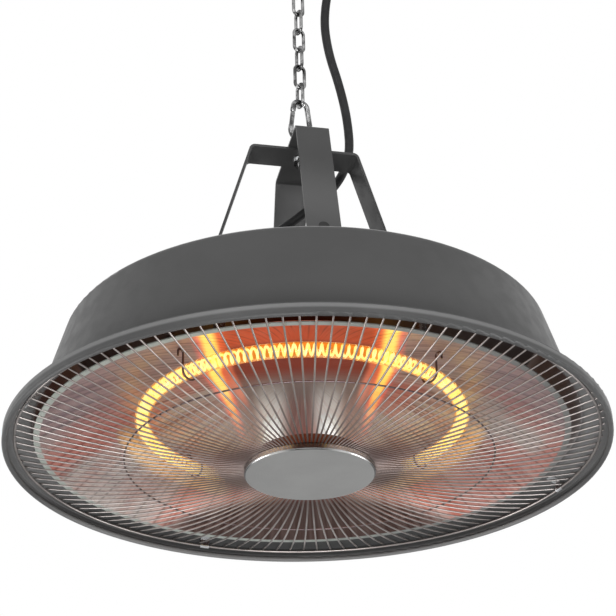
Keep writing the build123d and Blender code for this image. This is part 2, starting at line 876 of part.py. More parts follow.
def bend_radii(points):
    """Bend radius at each inner point of a route, from the shorter run beside it."""
    radii = []
    for before, here, after in zip(points, points[1:], points[2:]):
        run_in = Vector(here) - Vector(before)
        run_out = Vector(after) - Vector(here)
        turn = math.radians(run_in.get_angle(run_out))
        shorter = min(run_in.length, run_out.length)
        radii.append(cord_bend_share * shorter / math.tan(turn / 2))
    return radii


def make_hanging_cord():
    """Mains cord from inside the gland, up past the straps to the coil."""
    low = drum_inner_height - cord_inner_drop
    coil_side = coil_x - coil_outer_radius
    first = [(gland_x, gland_y, low), (gland_x, gland_y, low + cord_first_rise)]
    last = [
        (coil_side, coil_front_y, coil_height - cord_last_rise),
        (coil_side, coil_front_y, coil_height),
    ]
    route = first + cord_points + last
    radii = bend_radii(route)
    path = FilletPolyline(*route, radius=radii)
    cord = round_bar(path, cord_radius)
    print("cord bend radii", [round(radius, 1) for radius in radii])
    print("hanging cord length", round(path.length, 1))
    print_volume_share("cord", cord, path)
    return cord


def make_coil_tie():
    """Flat band round the bottom of the coil."""
    step = coil_layer_step / 2
    inner_top = coil_height - coil_return_radius + cord_radius + tie_inner_room
    lowest_turn = coil_outer_radius - step
    inner_bottom = coil_height - lowest_turn - cord_radius - fit_gap
    inner_width = coil_layer_step + 2 * cord_radius + 2 * fit_gap
    middle = (inner_top + inner_bottom) / 2
    place = Pos(coil_x + tie_shift, tie_middle_y, middle)
    room = inner_top - inner_bottom
    band = Box(tie_width, inner_width + 2 * tie_sheet, room + 2 * tie_sheet)
    return place * (band - Box(2 * tie_width, inner_width, room))


def make_cord_peg():
    """Wire peg below the plate that carries the coil."""
    path = FilletPolyline(
        (coil_x, coil_front_y - peg_front, plate_bottom),
        (coil_x, coil_front_y - peg_front, peg_height),
        (coil_x, coil_back_y + peg_back, peg_height),
        (coil_x, coil_back_y + peg_back, peg_height + peg_tip),
        radius=peg_bend,
    )
    return round_bar(path, peg_radius)


def make_plug_body(tip):
    """Round moulded plug with a tapered boot, hanging at the cord's end."""
    x, y, top = tip
    neck = top - plug_boot_height
    shoulder = neck - plug_shoulder_height
    face = shoulder - plug_body_height
    outline = Polyline(
        (0, 0, top),
        (plug_boot_radius, 0, top),
        (plug_neck_radius, 0, neck),
        (plug_radius, 0, shoulder),
        (plug_radius, 0, face),
        (0, 0, face),
        close=True,
    )
    body = revolve(make_face(outline), axis=Axis.Z)
    edges = body.edges().filter_by(GeomType.CIRCLE)
    rims = edges.filter_by(lambda edge: abs(edge.radius - plug_radius) < touch_gap)
    body = fillet(rims, plug_edge_round)
    return Pos(x, y, 0) * body, face


def make_plug_pins(tip, face):
    """Two round plug pins."""
    pins = []
    middle, y, _ = tip
    for side in (-1, 1):
        x = middle + side * pin_spacing / 2
        pin = rod(pin_radius, face - pin_length, face, x, y)
        pins.append(fillet(pin.edges().group_by(Axis.Z)[0], pin_tip_round))
    return Compound(pins)


def make_gland():
    """Cable gland on top of the drum with a tapered strain relief."""
    low = drum_inner_height - gland_nut_height
    flange_top = drum_top_height + gland_flange_height
    dome_top = flange_top + gland_dome_height
    boot_top = dome_top + gland_boot_height
    body = rod(gland_thread_radius, low, drum_top_height)
    body = body + hexagon(gland_flange_radius, drum_top_height, flange_top)
    dome = Pos(0, 0, (flange_top + dome_top) / 2) * Cone(
        gland_dome_radius, gland_dome_radius - drum_sheet, gland_dome_height
    )
    boot = Pos(0, 0, (dome_top + boot_top) / 2) * Cone(
        gland_dome_radius - drum_sheet, gland_boot_radius, gland_boot_height
    )
    body = body + dome + boot - rod(cord_radius + touch_gap, low, boot_top)
    return Pos(gland_x, gland_y, 0) * body


def make_gland_nut():
    """Lock nut of the gland inside the drum."""
    low = drum_inner_height - gland_nut_height
    nut = hexagon(gland_flange_radius, low, drum_inner_height)
    nut = nut - rod(gland_thread_radius + touch_gap, low, drum_inner_height)
    return Pos(gland_x, gland_y, 0) * nut


def make_terminal_block():
    """Ceramic terminal block under the drum's top."""
    low = drum_inner_height - block_height
    block = Box(block_length, block_width, block_height, align=(Align.CENTER, Align.CENTER, Align.MIN))
    return Pos(0, block_y, low) * block


def make_core(number):
    """Live or neutral core from the cord's end to the terminal block."""
    side = number * core_spread
    end_y = block_y + number * block_core_step
    height = drum_inner_height - block_wire_drop
    path = FilletPolyline(
        (gland_x - side, gland_y, drum_inner_height - cord_inner_drop),
        (gland_x - side, gland_y, height),
        (core_rise_x, end_y, height),
        (-block_length / 2, end_y, height),
        radius=core_bend,
    )
    return round_bar(path, core_radius)


def make_earth_core():
    """Earth core from the cord's end to the tag on the drum."""
    start_y = gland_y - core_spread
    height = drum_inner_height - block_wire_drop
    path = FilletPolyline(
        (gland_x, start_y, drum_inner_height - cord_inner_drop),
        (gland_x, start_y, height),
        (earth_tag_x, earth_tag_y, height),
        (earth_tag_x, earth_tag_y, drum_inner_height - earth_tag_sheet),
        radius=core_bend,
    )
    return round_bar(path, core_radius)


def make_earth_tag():
    """Round earth tag against the drum's inner side."""
    low = drum_inner_height - earth_tag_sheet
    return rod(earth_tag_radius, low, drum_inner_height, earth_tag_x, earth_tag_y)


def make_spacers():
    """Four posts that hang the reflector from the drum's top, shaped to the dish at their feet."""
    posts = []
    dish_fill = Pos(0, 0, dish_centre_height) * Sphere(dish_skin_radius)
    low = dish_height(spacer_circle + spacer_radius) - dish_sheet
    for angle in quarter_turns(spacer_angle):
        x, y, _ = at_angle(spacer_circle, angle)
        post = rod(spacer_radius, low, drum_inner_height, x, y) - dish_fill
        bore_low = drum_inner_height - spacer_screw_length
        posts.append(post - rod(spacer_bore, bore_low, drum_inner_height, x, y))
    return Compound(posts)


def make_spacer_screws():
    """Screws down through the drum's top into the four posts."""
    screws = []
    low = drum_inner_height - spacer_screw_length + fit_gap
    for angle in quarter_turns(spacer_angle):
        x, y, _ = at_angle(spacer_circle, angle)
        head = rod(spacer_screw_head_radius, drum_top_height, drum_top_height + spacer_screw_head_height, x, y)
        screws.append(head + rod(spacer_screw_radius, low, drum_top_height, x, y))
    return Compound(screws)


def write_head():
    """Write every piece of the heater head; the reflector, the lamp and the grille are set off its axis."""
    off_axis = Pos(reflector_shift, 0, 0)
    grille_off = Pos(grille_shift, 0, 0)
    save("housing", make_housing())
    save("reflector", off_axis * make_reflector())
    save("reflector_spacers", off_axis * make_spacers())
    save("spacer_screws", off_axis * make_spacer_screws())
    save("lamp_tube", off_axis * make_lamp_tube())
    save("lamp_winding", off_axis * make_lamp_winding())
    save("lamp_caps", off_axis * make_lamp_caps())
    save("lamp_supports", off_axis * make_lamp_supports())
    save("lamp_leads", off_axis * make_lamp_leads())
    save("grille_rim_ring", ring_of_wire(rim_ring_radius, rim_ring_height, rim_ring_wire))
    support_ring = ring_of_wire(support_ring_radius, support_ring_height, support_ring_wire)
    save("grille_support_ring", grille_off * support_ring)
    save("grille_spokes", grille_off * make_spokes())
    save("grille_hub", grille_off * make_hub())
    save("grille_hub_clamp", grille_off * make_hub_clamp())
    save("grille_hub_rivet", grille_off * make_hub_rivet())
    save("grille_clips", make_grille_clips())
    save("front_strap", make_strap(front_strap_top, strap_angle + quarter_angle, True))
    save("side_strap", make_strap(side_strap_top, strap_angle, False))
    save("strap_plugs", make_strap_plugs())
    save("strap_screws", make_strap_screws())
    save("strap_nuts", make_strap_nuts())
    save("eye_bolt", make_eye_bolt())
    save("eye_washers", make_washers())
    save("eye_nut", make_eye_nut())
    save("cable_gland", make_gland())
    save("gland_nut", make_gland_nut())
    save("terminal_block", make_terminal_block())
    save("core_live", make_core(1))
    save("core_neutral", make_core(-1))
    save("core_earth", make_earth_core())
    save("earth_tag", make_earth_tag())


def write_hanging():
    """Write the ceiling fitting, the chain, the snap hook and the cord."""
    save("ceiling_plate", make_ceiling_plate())
    save("ceiling_hook", make_ceiling_hook())
    save("cord_peg", make_cord_peg())
    for number in range(link_count):
        save(f"chain_link_{number + 1}", make_link(number))
    save("snap_hook", make_hook_body())
    save("snap_gate", make_gate())
    save("snap_gate_pin", make_gate_pin())
    save("mains_cord", make_hanging_cord())
    coil, tip = make_coil()
    save("mains_cord_coil", coil)
    save("coil_tie", make_coil_tie())
    plug, face = make_plug_body(tip)
    save("plug_body", plug)
    save("plug_pins", make_plug_pins(tip, face))


write_head()
write_hanging()
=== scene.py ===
import math

import bmesh
import bpy
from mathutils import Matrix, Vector


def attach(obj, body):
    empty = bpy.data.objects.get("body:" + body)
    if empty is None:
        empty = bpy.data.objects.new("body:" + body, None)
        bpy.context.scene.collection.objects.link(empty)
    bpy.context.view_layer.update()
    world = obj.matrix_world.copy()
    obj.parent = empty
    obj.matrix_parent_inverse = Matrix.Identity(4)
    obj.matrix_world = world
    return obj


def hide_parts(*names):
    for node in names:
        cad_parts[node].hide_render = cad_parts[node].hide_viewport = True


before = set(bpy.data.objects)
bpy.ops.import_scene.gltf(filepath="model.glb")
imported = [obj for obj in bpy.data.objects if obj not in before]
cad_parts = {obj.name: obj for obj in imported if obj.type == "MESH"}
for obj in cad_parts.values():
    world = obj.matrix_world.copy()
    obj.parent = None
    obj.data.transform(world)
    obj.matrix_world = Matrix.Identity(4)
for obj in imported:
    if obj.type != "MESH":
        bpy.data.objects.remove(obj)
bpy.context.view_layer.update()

# Lower end of the head's hem in the frame, in metres. The sizes after it are in millimetres, with
# heights measured upward from the hem
hem_place = -0.525
per_metre = 1000.0
hem_radius = 212.4
reflector_shift = -3.6
grille_shift = 1.0
hub_radius = 46.0
spoke_count = 120
lamp_radius = 112.94
lamp_height = 24.3

# Camera, placed as the photograph was taken: below the heater and in front of it, looking up
camera_place = Vector((0.00206, -1.19271, -1.04683))
camera_aim = Vector((0.00231, 0.0, -0.4097))
camera_roll = 1.336
camera_sensor = 36.0
camera_lens = 108.19
camera_reach = 50.0
camera_data = bpy.data.cameras.new("camera")
camera_data.sensor_width = camera_sensor
camera_data.lens = camera_lens
camera_data.clip_end = camera_reach
camera = bpy.data.objects.new("camera", camera_data)
bpy.context.collection.objects.link(camera)
camera.matrix_world = (camera_aim - camera_place).to_track_quat("-Z", "Y").to_matrix().to_4x4()
camera.rotation_euler.rotate_axis("Z", -math.radians(camera_roll))
camera.location = camera_place
bpy.context.scene.camera = camera


def metres(points):
    """Places given in millimetres above the hem, in the frame."""
    return [(x / per_metre, y / per_metre, z / per_metre + hem_place) for x, y, z in points]


def spline_curve(name, points, width, bevel_steps, curve_steps):
    """Round wire or cord along a smooth line drawn by its control points, in metres."""
    data = bpy.data.curves.new(name, "CURVE")
    data.dimensions = "3D"
    data.bevel_depth = width / 2
    data.bevel_resolution = bevel_steps
    data.resolution_u = curve_steps
    spline = data.splines.new("NURBS")
    spline.points.add(len(points) - 1)
    for point, place in zip(spline.points, points):
        point.co = (*place, 1.0)
    spline.order_u = 3
    spline.use_endpoint_u = True
    piece = bpy.data.objects.new(name, data)
    bpy.context.collection.objects.link(piece)
    return piece


# Mains cord: the stretch that hangs between the coil and the head, then the coil of spare cord
cord_width = 0.007
hanging_route = metres([
    (-50, 22, 83), (-50, 22, 129), (-34, 22, 182), (2, 23.5, 210), (27, 27, 236), (38, 26, 262),
    (37, 22, 292), (31.5, 17, 322), (23, 12, 352), (20, 9, 385), (28, 8.2, 428), (28, 8.2, 463),
])
tail_route = [(145.8, 15.8, 511), (145.8, 15.8, 467)]
coil_start = (28, 8.2, 463)
coil_middle_x = 77.9
coil_cross_shift = -3.0
coil_layer_step = 7.6
coil_radius = 49.9
coil_turns = 6.25
coil_turns_in = 3.0
coil_cross_turns = 0.5
coil_points_per_turn = 16
coil_widening_share = 1.0195


def coil_route():
    """Three turns inward in front, a crossing, then outward behind, up to the plug's tail."""
    points = []
    _, front_y, height = coil_start
    for step in range(int(coil_turns * coil_points_per_turn) + 1):
        turns = step / coil_points_per_turn
        phase = 2 * math.pi * turns
        inward = min(turns, coil_turns_in)
        outward = max(turns - coil_turns_in - coil_cross_turns, 0.0)
        cross = min(max((turns - coil_turns_in) / coil_cross_turns, 0.0), 1.0)
        radius = (coil_radius + coil_layer_step * (outward - inward)) * coil_widening_share
        middle = coil_middle_x + coil_cross_shift * cross
        layer = front_y + coil_layer_step * cross
        points.append((middle - radius * math.cos(phase), layer, height + radius * math.sin(phase)))
    points[0] = coil_start
    return metres(points + tail_route)


def cord_curve(name, points):
    """Closed-ended rubber cord along a route."""
    piece = spline_curve(name, points, cord_width, bevel_steps=5, curve_steps=12)
    piece.data.use_fill_caps = True
    return piece


cord = cord_curve("hanging_cord", hanging_route)
spare = cord_curve("spare_cord", coil_route())


class Nodes:
    """Builds one material's nodes: sums, noises and colours, each returned as a socket."""

    def __init__(self, name):
        self.material = bpy.data.materials.new(name)
        self.material.use_nodes = True
        self.tree = self.material.node_tree
        self.shader = self.tree.nodes["Principled BSDF"]
        self.place = self.node("ShaderNodeTexCoord").outputs["Object"]

    def node(self, kind, **values):
        made = self.tree.nodes.new(kind)
        for key, value in values.items():
            setattr(made, key, value)
        return made

    def link(self, source, target):
        if hasattr(source, "is_linked"):
            self.tree.links.new(source, target)
        else:
            target.default_value = source

    def math(self, kind, first, second=0.0, third=0.0, clamp=False):
        made = self.node("ShaderNodeMath", operation=kind, use_clamp=clamp)
        for source, target in zip((first, second, third), made.inputs):
            self.link(source, target)
        return made.outputs[0]

    def times(self, first, *others):
        """Product of several values."""
        for other in others:
            first = self.math("MULTIPLY", first, other)
        return first

    def size(self, value):
        """A value without its sign."""
        return self.math("ABSOLUTE", value)

    def apart(self, value, middle):
        """How far a value lies from a middle, on either side."""
        return self.size(self.math("SUBTRACT", value, middle))

    def ramp(self, value, low, high, start=0.0, end=1.0):
        """Smooth step from start at low to end at high."""
        made = self.node("ShaderNodeMapRange", interpolation_type="SMOOTHSTEP")
        for source, target in zip((value, low, high, start, end), made.inputs):
            self.link(source, target)
        return made.outputs[0]

    def noise(self, scale, detail=2.0, place=None):
        made = self.node("ShaderNodeTexNoise")
        made.inputs["Scale"].default_value = scale
        made.inputs["Detail"].default_value = detail
        self.link(place or self.place, made.inputs["Vector"])
        return made.outputs[0]

    def mix(self, share, first, second, kind="MIX"):
        made = self.node("ShaderNodeMix", data_type="RGBA", blend_type=kind)
        self.link(share, made.inputs[0])
        self.link(first, made.inputs[6])
        self.link(second, made.inputs[7])
        return made.outputs[2]

    def bump(self, height, strength, distance):
        made = self.node("ShaderNodeBump")
        made.inputs["Strength"].default_value = strength
        made.inputs["Distance"].default_value = distance
        self.link(height, made.inputs["Height"])
        self.link(made.outputs[0], self.shader.inputs["Normal"])

    def roughen(self, noise, rough, below, above):
        """Roughness that strays a little below and above its middle value."""
        self.put(Roughness=self.ramp(noise, *even_span, start=rough - below, end=rough + above))

    def put(self, **values):
        for key, value in values.items():
            self.link(value, self.shader.inputs[key.replace("_", " ")])

    def parts(self, place):
        """The three parts of a place or a direction."""
        split = self.node("ShaderNodeSeparateXYZ")
        self.link(place, split.inputs[0])
        return split.outputs

    def across_and_back(self):
        """Millimetres to the right of the head's axis and behind it."""
        x, y, _ = self.parts(self.place)
        return self.times(x, per_metre), self.times(y, per_metre)

    def distance(self, x, y):
        """Distance of a flat place from the origin."""
        return self.math("SQRT", self.math("ADD", self.times(x, x), self.times(y, y)))

    def flat_noise(self, x, y, scale, detail):
        """Noise over two values of one's own."""
        joined = self.node("ShaderNodeCombineXYZ")
        self.link(x, joined.inputs[0])
        self.link(y, joined.inputs[1])
        return self.noise(scale, detail, place=joined.outputs[0])


def srgb(red, green, blue):
    """Colour given as it reads on screen, 0 to 255, for a shader socket, by the usual screen curve."""
    def linear(value):
        share = value / 255
        return share / 12.92 if share <= 0.04045 else ((share + 0.055) / 1.055) ** 2.4
    return (linear(red), linear(green), linear(blue), 1.0)


def shade(colour, share):
    """A colour with its brightness taken to a share."""
    return tuple(part * share for part in colour[:3]) + (1.0,)


# Colour of a place that gives no light
black = (0.0, 0.0, 0.0, 1.0)

# Parts of a noise's range over which two looks change places. As every pair of places, depths, radii
# or angles below does, each runs from where a mark starts to where it is full
soft_span = (0.35, 0.65)
even_span = (0.3, 0.7)


def coated(name, colour, painted_light_and_shade=None):
    """Satin powder coat: fine grain and faint blotches, with painted light and shade laid on where given."""
    rough = 0.42
    nodes = Nodes(name)
    blotch = nodes.ramp(nodes.noise(scale=14.0, detail=4.0), *soft_span)
    base = nodes.mix(blotch, colour, shade(colour, share=0.9))
    # Painted light and shade on the coat, where given
    if painted_light_and_shade:
        base = painted_light_and_shade(nodes, base)
    nodes.put(Base_Color=base)
    smears = nodes.noise(scale=90.0, detail=3.0)
    nodes.roughen(smears, rough, below=0.04, above=0.05)
    nodes.shader.inputs["Specular IOR Level"].default_value = 0.28
    nodes.bump(nodes.noise(scale=1400.0), strength=0.25, distance=0.0002)
    return nodes.material


def strap_painted_light(nodes, base):
    """A painted highlight half way up the front leg and painted light on the far leg's inner face; spans in
    metres.
    """
    strap_highlight_middle = -0.365
    strap_highlight_span = (0.062, 0.0)
    facing_front = (-0.5, -0.8)
    front_leg = (-0.04, -0.06)
    far_leg = (0.02, 0.05)
    _, y, z = nodes.parts(nodes.place)
    _, facing, _ = nodes.parts(nodes.node("ShaderNodeTexCoord").outputs["Normal"])
    face = nodes.ramp(facing, *facing_front)
    strap_highlight = nodes.ramp(nodes.apart(z, strap_highlight_middle), *strap_highlight_span)
    # Painted highlight on the front leg's face, half way up
    base = nodes.mix(nodes.times(strap_highlight, face, nodes.ramp(y, *front_leg)), base, srgb(94, 94, 94))
    # Painted light on the far leg's inner face
    return nodes.mix(nodes.times(face, nodes.ramp(y, *far_leg)), base, srgb(126, 126, 126))


def inside_painted_light(nodes, base):
    """Painted light on the coat inside the drum and under the brim, painted shade towards the back, and
    painted light on the far lip.
    """
    brim_foot_height = 5.7
    brim_rate = 0.4167
    brim_skin = (-0.1, 0.1)
    brim_heights = (2.0, 4.0)
    brim_radii = (186.0, 196.0)
    brim_back = (40.0, 130.0)
    wall_foot_height = 14.6
    wall_rate = 0.297
    wall_skin = (192.2, 191.8)
    wall_foot = (11.0, 14.0)
    wall_top = (83.9, 83.3)
    lip_heights = (4.0, 1.0)
    lip_back = (40.0, 150.0)
    _, _, z = nodes.parts(nodes.place)
    height = nodes.times(nodes.math("SUBTRACT", z, hem_place), per_metre)
    x, y = nodes.across_and_back()
    radius = nodes.distance(x, y)
    skin = nodes.math("MULTIPLY", nodes.math("SUBTRACT", hem_radius, radius), brim_rate)
    depth = nodes.math("SUBTRACT", nodes.math("ADD", skin, brim_foot_height), height)
    # Painted light under the brim, turning to painted shade towards the back
    under = nodes.times(nodes.ramp(depth, *brim_skin), nodes.ramp(height, *brim_heights))
    under = nodes.times(under, nodes.ramp(radius, *brim_radii))
    brim = nodes.mix(nodes.ramp(y, *brim_back), srgb(106, 106, 106), srgb(62, 62, 62))
    base = nodes.mix(under, base, brim)
    # Painted light on the inner wall of the drum
    climb = nodes.math("MULTIPLY", nodes.math("SUBTRACT", height, wall_foot_height), wall_rate)
    within = nodes.ramp(nodes.math("ADD", radius, climb), *wall_skin)
    within = nodes.times(within, nodes.ramp(height, *wall_foot), nodes.ramp(height, *wall_top))
    base = nodes.mix(within, base, srgb(150, 150, 150))
    # Painted light on the lower part of the far lip
    far = nodes.times(nodes.ramp(height, *lip_heights), nodes.ramp(y, *lip_back))
    return nodes.mix(far, base, srgb(104, 104, 104))


def metal(name, colour, rough=0.28, grain=300.0, dull=0.72, patch=45.0, toned=None):
    """Plated or bare metal with fine tool marks and slightly uneven plating."""
    nodes = Nodes(name)
    cloud = nodes.ramp(nodes.noise(patch, detail=4.0), *soft_span)
    base = nodes.mix(cloud, colour, shade(colour, dull))
    if toned:
        base = toned(nodes, base)
    nodes.put(Base_Color=base, Metallic=1.0)
    marks = nodes.noise(grain, detail=4.0)
    nodes.roughen(marks, rough, below=0.07, above=0.09)
    nodes.bump(marks, strength=0.3, distance=0.0001)
    return nodes.material


def browner_near_hub(nodes, base):
    """Wire that turns browner and duller towards the hub."""
    brown_radii = (128.0, 62.0)
    x, y = nodes.across_and_back()
    near = nodes.ramp(nodes.distance(x, y), *brown_radii)
    return nodes.mix(near, base, (0.2, 0.165, 0.155, 1.0))


def moulded(name, colour, rough=0.5):
    """Rubber or plastic with a fine moulded texture and faint bloom."""
    bloom_span = (0.4, 0.75)
    bloom_share = 1.5
    bloom_lift = 0.003
    nodes = Nodes(name)
    paler = tuple(min(part * bloom_share + bloom_lift, 1.0) for part in colour[:3]) + (1.0,)
    bloom = nodes.ramp(nodes.noise(scale=60.0, detail=4.0), *bloom_span)
    nodes.put(Base_Color=nodes.mix(bloom, colour, paler))
    smears = nodes.noise(scale=200.0, detail=3.0)
    nodes.roughen(smears, rough, below=0.06, above=0.08)
    nodes.shader.inputs["Specular IOR Level"].default_value = 0.3
    nodes.bump(nodes.noise(scale=900.0), strength=0.2, distance=0.0002)
    return nodes.material


def ceramic(name, colour):
    """Matt unglazed ceramic with small pits and specks."""
    speck_span = (0.62, 0.72)
    nodes = Nodes(name)
    speck = nodes.ramp(nodes.noise(scale=700.0), *speck_span)
    nodes.put(Base_Color=nodes.mix(speck, colour, srgb(150, 140, 125)))
    smears = nodes.noise(scale=120.0, detail=3.0)
    nodes.put(Roughness=nodes.ramp(smears, *even_span, start=0.7, end=0.85))
    nodes.bump(nodes.noise(scale=500.0, detail=4.0), strength=0.35, distance=0.0003)
    return nodes.material


def woven(name, colour, pale):
    """Narrow woven band: crossed threads a fraction of a millimetre apart."""
    thread_scale = 420.0
    nodes = Nodes(name)
    waves = []
    for direction in ("X", "Z"):
        wave = nodes.node("ShaderNodeTexWave", bands_direction=direction)
        wave.inputs["Scale"].default_value = thread_scale
        nodes.link(nodes.place, wave.inputs["Vector"])
        waves.append(wave.outputs["Fac"])
    threads = nodes.times(*waves)
    nodes.put(Base_Color=nodes.mix(threads, colour, pale), Roughness=0.85)
    nodes.bump(threads, strength=0.6, distance=0.0004)
    return nodes.material


def hub_metal():
    """Satin disc turned on a lathe: fine rings round the middle and a polished wall, painted dark with a
    highlight painted at either side.
    """
    wall_start = 1.4
    wall_full = 0.6
    wall_radii = (hub_radius - wall_start, hub_radius - wall_full)
    wall_highlight_aside = 27.0
    wall_highlight_span = (20.0, 4.0)
    wall_smoothness = 0.3
    nodes = Nodes("hub_metal")
    x, y = nodes.across_and_back()
    x = nodes.math("SUBTRACT", x, grille_shift)
    radius = nodes.distance(x, y)
    lines = nodes.flat_noise(nodes.math("DIVIDE", radius, per_metre), 0.0, scale=1800.0, detail=2.0)
    edge = nodes.ramp(radius, *wall_radii)
    cloud = nodes.ramp(nodes.noise(scale=30.0, detail=3.0), *even_span)
    base = nodes.mix(cloud, srgb(147, 147, 146), srgb(140, 140, 139))
    # Painted highlight on the polished wall at either side, painted dark reflection on the rest of it
    wall_highlight = nodes.ramp(nodes.apart(nodes.size(x), wall_highlight_aside), *wall_highlight_span)
    wall = nodes.mix(wall_highlight, srgb(78, 78, 78), srgb(225, 225, 224))
    nodes.put(Base_Color=nodes.mix(edge, base, wall))
    nodes.put(Metallic=nodes.ramp(radius, *wall_radii, start=0.6, end=0.95))
    rough = nodes.ramp(lines, *even_span, start=0.45, end=0.55)
    nodes.put(Roughness=nodes.math("SUBTRACT", rough, nodes.times(edge, wall_smoothness)))
    nodes.bump(lines, strength=0.12, distance=0.0001)
    return nodes.material


def lamp_glass():
    """Clear quartz with a warm glow of its own and faint draw marks."""
    nodes = Nodes("lamp_glass")
    nodes.put(Base_Color=(1.0, 0.9, 0.66, 1.0), Transmission_Weight=1.0, IOR=1.2)
    nodes.put(Roughness=nodes.ramp(nodes.noise(scale=200.0), *even_span, start=0.02, end=0.08))
    heat = nodes.ramp(nodes.noise(scale=60.0), *even_span)
    warm = nodes.mix(heat, srgb(214, 124, 18), srgb(224, 146, 30))
    nodes.put(Emission_Color=warm, Emission_Strength=0.22)
    return nodes.material


def lamp_glow():
    """White-hot wire, a little redder where it runs cooler."""
    nodes = Nodes("lamp_glow")
    heat = nodes.ramp(nodes.noise(scale=160.0), *even_span)
    nodes.put(Base_Color=srgb(90, 60, 30), Emission_Strength=1.15)
    nodes.put(Emission_Color=nodes.mix(heat, srgb(255, 250, 196), srgb(255, 234, 132)))
    return nodes.material


class Dish(Nodes):
    """Material of the spun dish with the lamp's glow, reflections and shade painted in; places are
    millimetres from its middle.
    """

    def __init__(self, name):
        super().__init__(name)
        self.head_x, self.y = self.across_and_back()
        self.x = self.math("SUBTRACT", self.head_x, reflector_shift)
        self.aside = self.size(self.x)
        self.radius = self.distance(self.x, self.y)
        self.angle = self.math("ARCTAN2", self.x, self.y)
        self.rays = self.fan_noise(turn=14.0, reach=0.006, scale=2.6, detail=3.0)
        self.sweeps = self.fan_noise(turn=3.0, reach=0.004, scale=2.2, detail=2.0)
        self.clouds = self.noise(scale=11.0, detail=3.0)
        self.shadow = self.spoke_shadow()
        self.find_bands()
        self.find_zones()
        self.find_fans()

    def fan_noise(self, turn, reach, scale, detail):
        """Noise drawn out along the dish's radii."""
        return self.flat_noise(self.times(self.angle, turn), self.times(self.radius, reach), scale, detail)

    def spoke_shadow(self):
        """Thin shadow lines below the spokes, stronger where the rays are pale."""
        line_span = (0.2, 0.02)
        ray_span = (0.35, 0.6)
        shadow_radii = (60.0, 100.0)
        angle = self.math("ARCTAN2", self.head_x, self.y)
        count = self.times(angle, spoke_count / (2 * math.pi))
        half = 0.5
        comb = self.math("PINGPONG", self.math("ADD", count, half), half)
        line = self.times(self.ramp(comb, *line_span), self.ramp(self.rays, *ray_span, start=0.1, end=0.7))
        return self.times(line, self.ramp(self.radius, *shadow_radii))

    def find_bands(self):
        """Two painted reflections of the lamp, bright bands that lean inward behind it, and the stretch
        between them.
        """
        band_aside = 61.0
        band_lean_share = 0.165
        straight_until = -15.0
        between_span = (2.0, -10.0)
        past = self.math("MAXIMUM", self.math("SUBTRACT", self.y, straight_until), 0.0)
        band = self.math("SUBTRACT", band_aside, self.times(past, band_lean_share))
        self.off_band = self.math("SUBTRACT", self.aside, band)
        self.between = self.ramp(self.off_band, *between_span)

    def find_zones(self):
        """Painted shade beyond the hub, painted red glow beside it, red clouds of painted glow and a cool
        painted reflection on the near part.
        """
        far_angles = (0.78, 0.5)
        far_depths = (138.0, 152.0)
        red_angle = 0.46
        red_angle_span = (0.34, 0.12)
        red_depth = 130.0
        red_depth_span = (22.0, 8.0)
        cloud_span = (0.48, 0.6)
        cloud_depths = (-50.0, 10.0)
        cool_depths = (30.0, -50.0)
        cool_aside = (60.0, 96.0)
        off_back = self.size(self.angle)
        # Painted shade beyond the hub
        self.beyond = self.times(self.ramp(off_back, *far_angles), self.ramp(self.y, *far_depths))
        # Painted red glow beside the hub
        redder = self.ramp(self.apart(off_back, red_angle), *red_angle_span)
        self.redder = self.times(redder, self.ramp(self.apart(self.y, red_depth), *red_depth_span))
        # Red clouds of painted glow
        cloud = self.ramp(self.clouds, *cloud_span)
        self.red_glow_cloud = self.times(cloud, self.ramp(self.y, *cloud_depths, start=0.12, end=0.8))
        # Cool painted reflection on the near part, out to the sides
        self.cool_reflection = self.times(self.ramp(self.y, *cool_depths), self.ramp(self.aside, *cool_aside))

    def find_fans(self):
        """Painted glints fanning out in front of the hub, with painted shade in the middle between them."""
        hub_zone = (112.0, 100.0)
        fan_shift = -2.0
        fan_aside = 21.0
        fan_span = (15.0, 4.0)
        fan_depths = (0.0, 50.0)
        ray_span = (0.25, 0.55)
        middle_span = (12.0, 4.0)
        middle_depths = (10.0, 60.0)
        self.near_hub = self.times(self.between, self.ramp(self.y, *hub_zone))
        off_middle = self.apart(self.x, fan_shift)
        self.off_fan = self.apart(off_middle, fan_aside)
        # Painted glints in two fans before the hub
        fan_glint = self.times(self.ramp(self.off_fan, *fan_span), self.ramp(self.y, *fan_depths), self.near_hub)
        self.fan_glint = self.times(fan_glint, self.ramp(self.rays, *ray_span, start=0.55, end=1.0))
        # Painted shade in the middle between the glints
        middle = self.times(self.ramp(off_middle, *middle_span), self.near_hub)
        self.middle = self.times(middle, self.ramp(self.y, *middle_depths, start=0.0, end=0.75))

    def lit_dish_colour(self):
        """Base colour with the light painted in: mauve glow in rays, brown near the lamp, silver glints,
        shade beyond the hub.
        """
        sweep_span = (0.44, 0.58)
        warm_depths = (-14.0, 18.0)
        cloud_share = 0.75
        shadow_share = 0.55
        # Painted reflections of the glow: mauve in soft rays, pale sweeps, red clouds and a cool near part
        base = self.mix(self.ramp(self.rays, *even_span), srgb(186, 166, 158), srgb(142, 116, 110))
        base = self.mix(self.ramp(self.sweeps, *sweep_span), base, srgb(182, 178, 172))
        base = self.mix(self.times(self.red_glow_cloud, cloud_share), base, srgb(168, 96, 84))
        base = self.mix(self.times(self.cool_reflection, cloud_share), base, srgb(122, 122, 134))
        # Painted shade beyond the hub
        far = self.mix(self.ramp(self.rays, *soft_span), srgb(96, 82, 78), srgb(72, 58, 54))
        base = self.mix(self.beyond, base, far)
        # Painted glow near the lamp, brown towards it and paler further back
        inner = self.mix(self.ramp(self.y, *warm_depths), srgb(134, 72, 60), srgb(160, 146, 141))
        base = self.mix(self.near_hub, base, inner)
